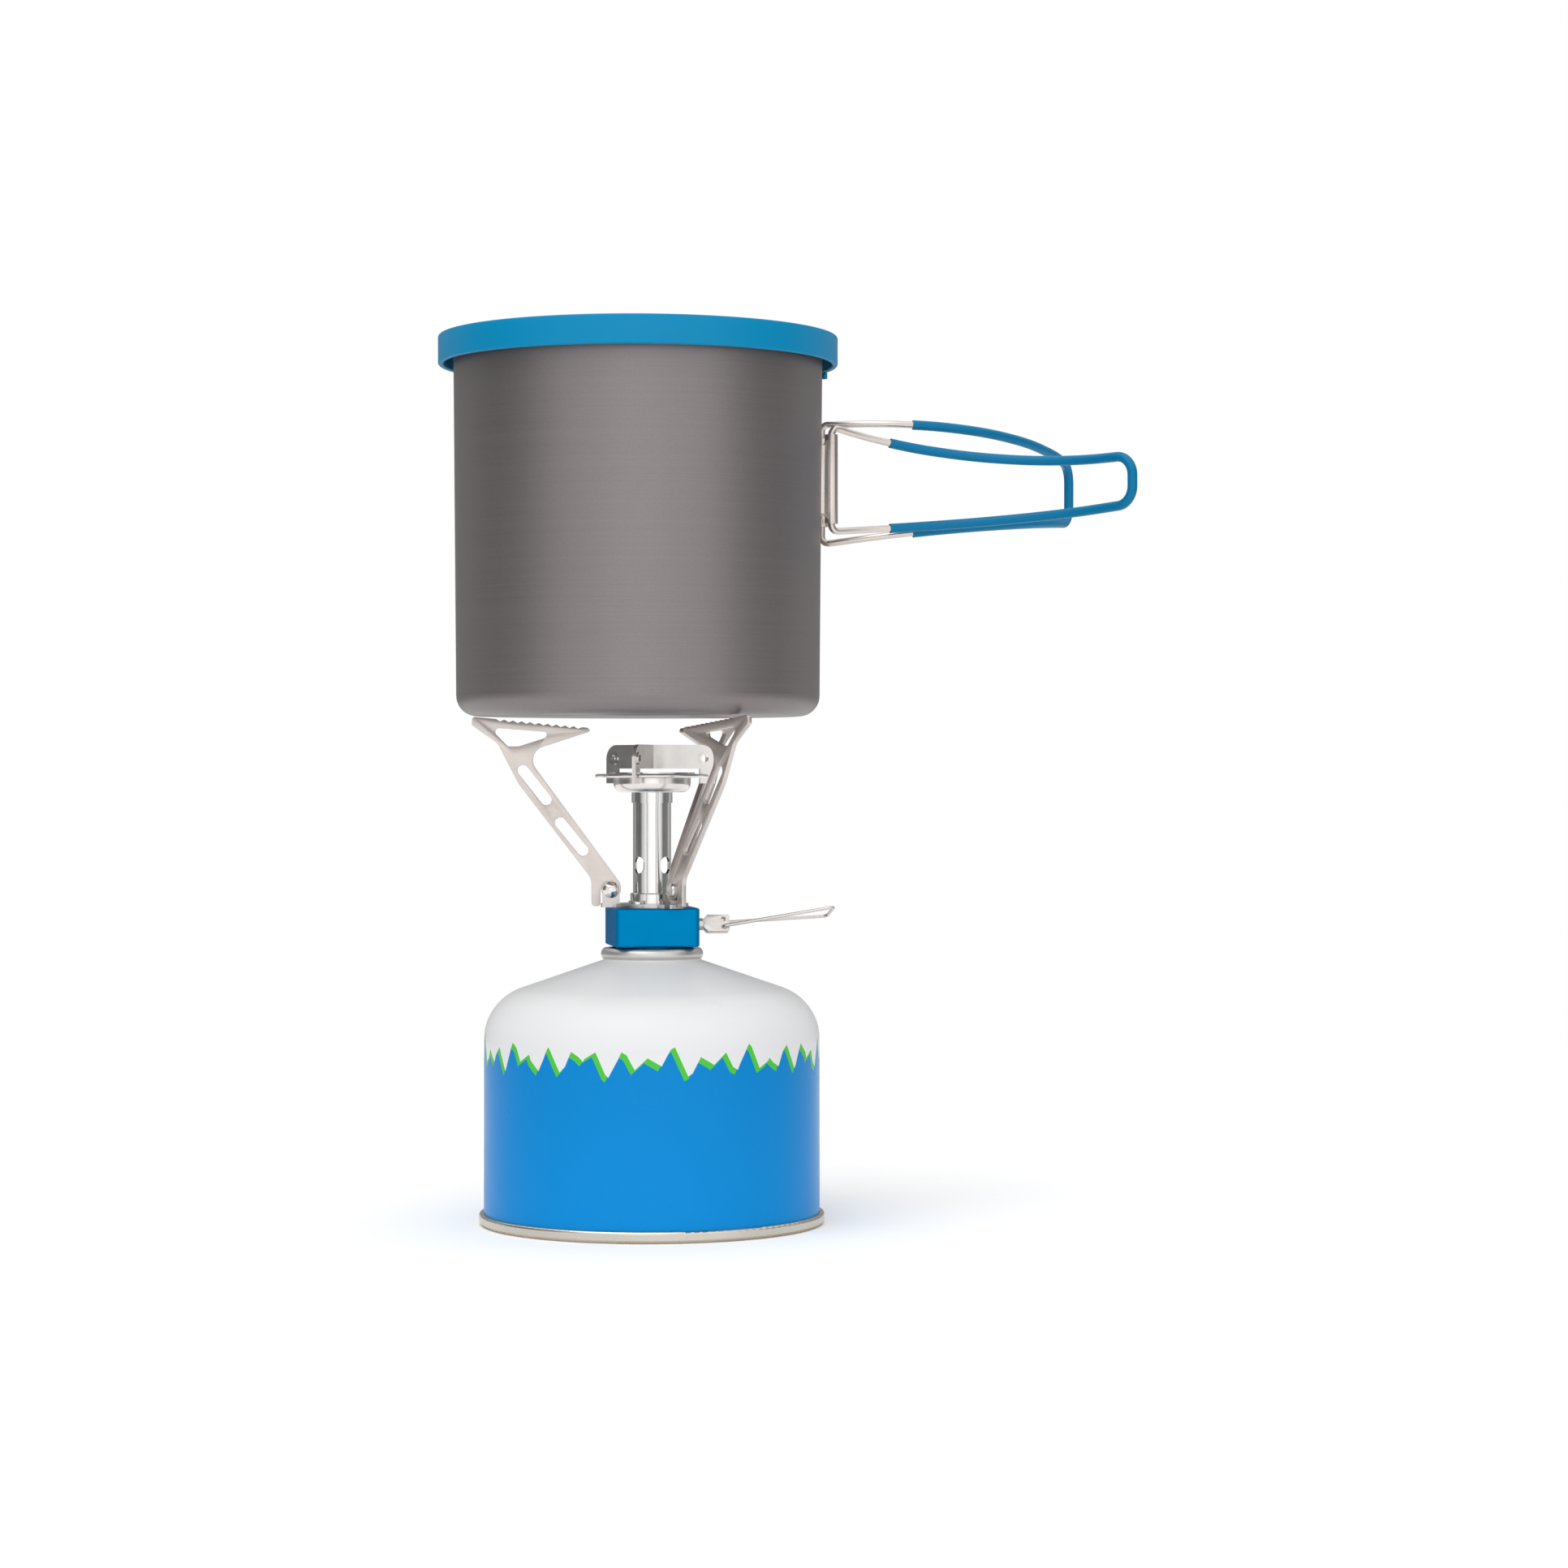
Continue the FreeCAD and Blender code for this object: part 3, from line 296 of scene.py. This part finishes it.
PEAKS_ROUND = ((41, 5.6 * MM), (25, 4.2 * MM), (13, 2.2 * MM))    # how many round, how tall
SKYLINE_LOW = 47.2 * MM
GREEN_LIFT = 1.5 * MM           # the green edge above the blue
GREEN_TURN = 0.007


def skyline(paint, angle, turn, lift):
    """Height of a ragged row of peaks, turned a little and lifted."""
    height = SKYLINE_LOW + lift
    for count, tall in PEAKS_ROUND:
        steps = paint.math("MULTIPLY_ADD", angle, count / math.pi)
        steps.node.inputs[2].default_value = count * (2 - turn)
        wave = paint.math("PINGPONG", steps, 1.0)
        height = paint.math("ADD", paint.math("MULTIPLY", wave, tall), height)
    return height


def canister_label():
    """White gloss shoulder over a blue body, with a ragged green-edged skyline between them."""
    paint = Finish("canister_label", (0.8, 0.82, 0.84), 0.30)
    split = paint.add("ShaderNodeSeparateXYZ")
    paint.link(paint.place, split.inputs[0])
    x, y, z = split.outputs
    angle = paint.math("ARCTAN2", y, x)
    above_blue = paint.math("SUBTRACT", z, skyline(paint, angle, 0, 0))
    above_green = paint.math("SUBTRACT", z, skyline(paint, angle, GREEN_TURN, GREEN_LIFT))
    blue_edge = paint.band(above_blue, 0.0, INK_EDGE)
    green_edge = paint.band(above_green, 0.0, INK_EDGE)
    depth = paint.band(z, 4 * MM, 56 * MM)
    blue = paint.mix(depth, (0.0, 0.235, 0.61), (0.0, 0.21, 0.55))
    lower = paint.mix(blue_edge, blue, (0.075, 0.50, 0.05))
    paint.set_base(paint.mix(green_edge, lower, (0.72, 0.725, 0.73)))
    paint.mottle(9.0, 0.015)
    paint.relief(paint.noise(700.0, 2.0), 0.000006)
    paint.vary_gloss(50.0, 0.05)
    paint.shader.inputs["Specular IOR Level"].default_value = 0.08
    paint.coat(0.06, 0.12)
    return paint


def rim_steel():
    steel = Finish("rim_lacquered_steel", (0.66, 0.60, 0.51), 0.27, 1.0)
    steel.mottle(40.0, 0.06, (1, 1, 4))
    steel.relief(steel.noise(160.0, 2.0, 0.5, (0.3, 0.3, 3)), 0.000002)
    steel.vary_gloss(120.0, 0.06)
    return steel


def cup_steel():
    steel = Finish("cup_satin_steel", (0.63, 0.615, 0.59), 0.42, 1.0)
    steel.mottle(60.0, 0.05)
    steel.relief(steel.noise(500.0, 3.0, 0.6, (0.3, 0.3, 5)), 0.000004)
    steel.vary_gloss(150.0, 0.06)
    return steel


def blue_anodised():
    metal = Finish("block_blue_anodised", (0.0, 0.205, 0.46), 0.36, 0.7)
    metal.shader.inputs["Specular Tint"].default_value = (0.05, 0.40, 0.70, 1)
    metal.shader.inputs["Specular IOR Level"].default_value = 0.2
    metal.mottle(90.0, 0.05)
    metal.relief(metal.noise(2600.0, 2.0), 0.000012)
    metal.vary_gloss(200.0, 0.05)
    return metal


def sheet_metal(name, colour, roughness, grain=900.0):
    """Tumbled sheet: fine pits and soft blotches."""
    metal = Finish(name, colour, roughness, 1.0)
    metal.mottle(45.0, 0.07)
    metal.relief(metal.noise(grain, 4.0, 0.65), 0.000018)
    metal.vary_gloss(130.0, 0.07)
    return metal


def drawn_wire(name, colour, roughness):
    """Bright drawn wire: faint stains and the lightest of drawing marks."""
    metal = Finish(name, colour, roughness, 1.0)
    metal.mottle(60.0, 0.06)
    metal.relief(metal.noise(300.0, 2.0, 0.5), 0.0000015)
    metal.vary_gloss(90.0, 0.05)
    return metal


def bracket_steel():
    return sheet_metal("bracket_dark_steel", (0.50, 0.48, 0.465), 0.28)


def fastener_steel():
    return sheet_metal("rivet_bright_steel", (0.74, 0.72, 0.70), 0.17, 1500.0)


def arm_metal():
    return sheet_metal("arm_warm_satin_metal", (0.62, 0.565, 0.53), 0.40, 1100.0)


def tube_chrome():
    chrome = Finish("tube_chrome", (0.71, 0.705, 0.695), 0.15, 1.0)
    chrome.mottle(70.0, 0.03)
    chrome.relief(chrome.noise(400.0, 2.0, 0.5, (1, 1, 6)), 0.000005)
    chrome.vary_gloss(180.0, 0.035)
    return chrome


def burner_steel():
    steel = Finish("burner_bright_steel", (0.74, 0.715, 0.69), 0.22, 1.0)
    steel.mottle(80.0, 0.08)
    steel.relief(steel.noise(900.0, 3.0), 0.00001)
    steel.vary_gloss(220.0, 0.08)
    return steel


def yoke_steel():
    return sheet_metal("yoke_satin_steel", (0.70, 0.66, 0.63), 0.33, 1800.0)


def wire_steel():
    return drawn_wire("control_drawn_wire", (0.62, 0.59, 0.565), 0.28)


def handle_steel():
    return drawn_wire("handle_bright_wire", (0.62, 0.565, 0.525), 0.27)


def jet_brass():
    brass = Finish("jet_brass", (0.82, 0.62, 0.30), 0.25, 1.0)
    brass.mottle(200.0, 0.06)
    brass.relief(brass.noise(1500.0, 3.0, 0.6, (0.2, 0.2, 4)), 0.00001)
    return brass


def seal_rubber():
    rubber = Finish("seal_black_rubber", (0.02, 0.02, 0.02), 0.6)
    rubber.mottle(200.0, 0.15)
    rubber.relief(rubber.noise(1200.0, 3.0), 0.00002)
    return rubber


def valve_plastic():
    plastic = Finish("valve_natural_plastic", (0.8, 0.8, 0.77), 0.45)
    plastic.mottle(90.0, 0.04)
    plastic.relief(plastic.noise(800.0, 2.0), 0.00001)
    return plastic


def pot_anodised():
    """Hard-anodised aluminium: a fine satin grain over faint level lathe lines."""
    pot = Finish("pot_hard_anodised", (0.23, 0.21, 0.21), 0.42, 0.85)
    lathe = pot.noise(1.0, 3.0, 0.6, (9, 9, 3200))
    grain = pot.noise(1900.0, 3.0, 0.7)
    lines = pot.math("ADD", pot.math("MULTIPLY", lathe, 0.4), pot.math("MULTIPLY", grain, 0.6))
    tone = pot.band(lines, 0.32, 0.68)
    pot.set_base(pot.mix(tone, (0.212, 0.192, 0.193), (0.252, 0.230, 0.230)))
    pot.mottle(14.0, 0.03)
    pot.relief(lines, 0.000022)
    pot.link(pot.band(lines, GRAIN_LOW, GRAIN_HIGH, 0.40, 0.50), pot.shader.inputs["Roughness"])
    return pot


def lid_plastic():
    plastic = Finish("lid_blue_plastic", (0.0, 0.225, 0.44), 0.38)
    plastic.mottle(20.0, 0.03)
    plastic.relief(plastic.noise(1400.0, 2.0), 0.00001)
    plastic.vary_gloss(60.0, 0.05)
    plastic.shader.inputs["Specular IOR Level"].default_value = 0.16
    return plastic


def sleeve_rubber():
    rubber = Finish("sleeve_blue_silicone", (0.0, 0.16, 0.33), 0.30)
    rubber.mottle(30.0, 0.05)
    rubber.relief(rubber.noise(1100.0, 3.0), 0.00001)
    rubber.vary_gloss(90.0, 0.06)
    rubber.shader.inputs["Specular IOR Level"].default_value = 0.16
    return rubber


FINISHES = {
    "canister_paint": canister_label,
    "rim_steel": rim_steel,
    "cup_steel": cup_steel,
    "blue_anodised": blue_anodised,
    "bracket_steel": bracket_steel,
    "fastener_steel": fastener_steel,
    "arm_metal": arm_metal,
    "tube_chrome": tube_chrome,
    "burner_steel": burner_steel,
    "yoke_steel": yoke_steel,
    "wire_steel": wire_steel,
    "handle_steel": handle_steel,
    "jet_brass": jet_brass,
    "seal_rubber": seal_rubber,
    "valve_plastic": valve_plastic,
    "pot_aluminium": pot_anodised,
    "lid_blue": lid_plastic,
    "sleeve_blue": sleeve_rubber,
}


def paint_nodes():
    """One finish for each slot, put on every CAD node."""
    made = {slot: finish().material for slot, finish in FINISHES.items()}
    for name, node in NODES.items():
        for slot in node.material_slots:
            slot.material = made[SLOT_OF[name]]
    return made


# ---- shaping by hand ----
SMOOTH_WITHIN = math.radians(35)
SHARP_OVER = 40                 # degrees


def deselect_all():
    bpy.ops.object.select_all(action="DESELECT")


def select_faces(test):
    """Selects, in edit mode, the faces whose centre and normal pass this test."""
    bpy.ops.object.mode_set(mode="OBJECT")
    bpy.context.tool_settings.mesh_select_mode = (False, False, True)
    mesh = bpy.context.object.data
    for item in (*mesh.vertices, *mesh.edges, *mesh.polygons):
        item.select = False
    for face in mesh.polygons:
        face.select = test(face.center, face.normal)
    bpy.ops.object.mode_set(mode="EDIT")


def round_edges(piece, width, segments=3, over=SHARP_OVER):
    """Rounds every edge that turns by more than this angle."""
    bevel = piece.modifiers.new("edge_rounding", "BEVEL")
    bevel.width = width
    bevel.segments = segments
    bevel.limit_method = "ANGLE"
    bevel.angle_limit = math.radians(over)
    bevel.use_clamp_overlap = True
    bpy.ops.object.modifier_apply(modifier=bevel.name)


def finish_piece(piece, name, node):
    """Gives a modelled piece its place, its finish and the body that it rides on."""
    bpy.ops.object.transform_apply(location=True, rotation=True, scale=True)
    bpy.ops.object.shade_smooth_by_angle(angle=SMOOTH_WITHIN)
    piece.name = name
    piece.data.materials.clear()
    piece.data.materials.append(MADE[SLOT_OF[node]])
    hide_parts(node)
    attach(piece, BODY_OF[node])


# ---- sheet parts with tumbled edges ----
TUMBLED = {
    "arm_left": 0.22 * MM,
    "arm_front": 0.22 * MM,
    "arm_rear": 0.22 * MM,
    "control_yoke": 0.18 * MM,
    "handle_bracket": 0.12 * MM,
}
SAME_POINT = 0.001 * MM
FLAT_WITHIN = math.radians(1)


def tumbled(name, width):
    """A copy of a sheet part with its sheared edges broken, as tumbling leaves them."""
    deselect_all()
    piece = NODES[name].copy()
    piece.data = NODES[name].data.copy()
    bpy.context.scene.collection.objects.link(piece)
    piece.parent = None
    piece.matrix_world = NODES[name].matrix_world
    bpy.context.view_layer.objects.active = piece
    piece.select_set(True)
    bpy.ops.object.mode_set(mode="EDIT")
    bpy.ops.mesh.select_all(action="SELECT")
    bpy.ops.mesh.remove_doubles(threshold=SAME_POINT)
    bpy.ops.mesh.dissolve_limited(angle_limit=FLAT_WITHIN)
    bpy.ops.object.mode_set(mode="OBJECT")
    round_edges(piece, width, 2)
    finish_piece(piece, name + "_tumbled", name)


# ---- lid ----
LID_TOP_T = 2.2 * MM
LID_WALL = 1.8 * MM
LID_SKIRT = 9.0 * MM
LID_RING_R = 56.6 * MM
LID_RING_WALL = 1.5 * MM
LID_RING_H = 5.0 * MM
LID_BORDER = 6.0 * MM           # flat border round the sunk panel
LID_SLOPE = 1.6 * MM
LID_SINK = 1.0 * MM
LID_BEAD_AT = 17.0 * MM         # from the panel's edge to the raised ring
LID_BEAD_W = 2.6 * MM
LID_BEAD_H = 0.7 * MM
LID_BEAD_SLOPE = 0.8 * MM
LID_ROUND = 0.6 * MM
LID_SHARP_OVER = 50             # degrees; the panel's shallow slopes stay crisp
LID_SIDES = 180
SAME_LEVEL = 0.2 * MM
TAB_AZIMUTH = 7.5               # degrees
TAB_HALF = 1.0 * MM
TAB_T = 1.44 * MM


def ring_step(inset, rise):
    """Insets the selected disc of faces, then raises or sinks the new inner disc."""
    bpy.ops.mesh.inset(thickness=inset)
    bpy.ops.transform.translate(value=(0, 0, rise))


def moulded_lid():
    """Sunk top panel with one raised ring, a deep skirt, and a ring that plugs the pot's mouth."""
    low, high = (Vector(corner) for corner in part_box("lid"))
    radius = (high.y - low.y) / 2
    axis = Vector(((low.x + high.x) / 2, (low.y + high.y) / 2, 0))
    deselect_all()
    middle = high.z - LID_TOP_T / 2
    bpy.ops.mesh.primitive_cylinder_add(
        vertices=LID_SIDES, radius=radius, depth=LID_TOP_T, location=axis + Vector((0, 0, middle)))
    piece = bpy.context.object
    bpy.ops.object.transform_apply(location=True)
    select_faces(lambda centre, normal: normal.z > 0.9)
    bpy.ops.mesh.inset(thickness=LID_BORDER)
    ring_step(LID_SLOPE, -LID_SINK)
    bpy.ops.mesh.inset(thickness=LID_BEAD_AT)
    ring_step(LID_BEAD_SLOPE, LID_BEAD_H)
    bpy.ops.mesh.inset(thickness=LID_BEAD_W)
    ring_step(LID_BEAD_SLOPE, -LID_BEAD_H)
    select_faces(lambda centre, normal: normal.z < -0.9)
    bpy.ops.mesh.inset(thickness=LID_WALL)
    bpy.ops.mesh.inset(thickness=radius - LID_WALL - LID_RING_R)
    bpy.ops.mesh.inset(thickness=LID_RING_WALL)
    under = high.z - LID_TOP_T

    def annulus(inner, outer):
        def test(centre, normal):
            r = (centre - axis - Vector((0, 0, centre.z))).length
            return normal.z < -0.9 and inner < r < outer and abs(centre.z - under) < SAME_LEVEL
        return test

    select_faces(annulus(radius - LID_WALL, radius))
    bpy.ops.mesh.extrude_region_move(TRANSFORM_OT_translate={"value": (0, 0, LID_TOP_T - LID_SKIRT)})
    select_faces(annulus(LID_RING_R - LID_RING_WALL, LID_RING_R))
    bpy.ops.mesh.extrude_region_move(TRANSFORM_OT_translate={"value": (0, 0, -LID_RING_H)})
    bpy.ops.object.mode_set(mode="OBJECT")
    round_edges(piece, LID_ROUND, over=LID_SHARP_OVER)
    add_lift_tab(piece, axis, radius, high.z - LID_SKIRT, low.z)
    finish_piece(piece, "lid_moulded", "lid")


def add_lift_tab(piece, axis, radius, top, bottom):
    """The small nib under the skirt that a thumb pushes up."""
    turn = math.radians(TAB_AZIMUTH)
    reach = radius - LID_WALL / 2
    place = axis + Vector((reach * math.cos(turn), reach * math.sin(turn), (top + bottom) / 2))
    deselect_all()
    bpy.ops.mesh.primitive_cube_add(size=1, location=place, rotation=(0, 0, turn))
    tab = bpy.context.object
    tab.scale = (TAB_T, 2 * TAB_HALF, top - bottom)
    bpy.ops.object.transform_apply(location=True, rotation=True, scale=True)
    round_edges(tab, TAB_HALF / 3)
    piece.select_set(True)
    bpy.context.view_layer.objects.active = piece
    bpy.ops.object.join()


# ---- valve spring ----
SPRING_TURNS = 5
SPRING_WIRE_R = 0.25 * MM
SPRING_WIRE_SIDES = 12
SPRING_TURN_STEPS = 24
PRESS_JOINT = "stem_press"


def coil_spring():
    """The valve's return spring, coiled to the height of the CAD spring."""
    low, high = (Vector(corner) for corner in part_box("valve_spring"))
    deselect_all()
    start = (high.x - SPRING_WIRE_R, 0, low.z + SPRING_WIRE_R)
    bpy.ops.mesh.primitive_circle_add(
        vertices=SPRING_WIRE_SIDES, radius=SPRING_WIRE_R, location=start, rotation=(math.radians(90), 0, 0))
    piece = bpy.context.object
    bpy.ops.object.transform_apply(location=True, rotation=True)
    coil = piece.modifiers.new("coil", "SCREW")
    coil.steps = SPRING_TURN_STEPS
    coil.render_steps = SPRING_TURN_STEPS
    coil.iterations = SPRING_TURNS
    coil.screw_offset = (high.z - low.z - 2 * SPRING_WIRE_R) / SPRING_TURNS
    bpy.ops.object.modifier_apply(modifier=coil.name)
    bpy.ops.object.mode_set(mode="EDIT")
    bpy.ops.mesh.select_all(action="SELECT")
    bpy.ops.mesh.fill_holes(sides=SPRING_WIRE_SIDES)
    bpy.ops.mesh.select_all(action="SELECT")
    bpy.ops.mesh.normals_make_consistent(inside=False)
    bpy.ops.object.mode_set(mode="OBJECT")
    finish_piece(piece, "valve_spring_coil", "valve_spring")
    joint = next(j for j in frame["record"]["behaviour"]["joints"] if j["name"] == PRESS_JOINT)
    travel = max(abs(end) for end in joint["range_m"])
    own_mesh(piece)


add_camera()
add_studio()
MADE = paint_nodes()
moulded_lid()
coil_spring()
for node_name, edge in TUMBLED.items():
    tumbled(node_name, edge)
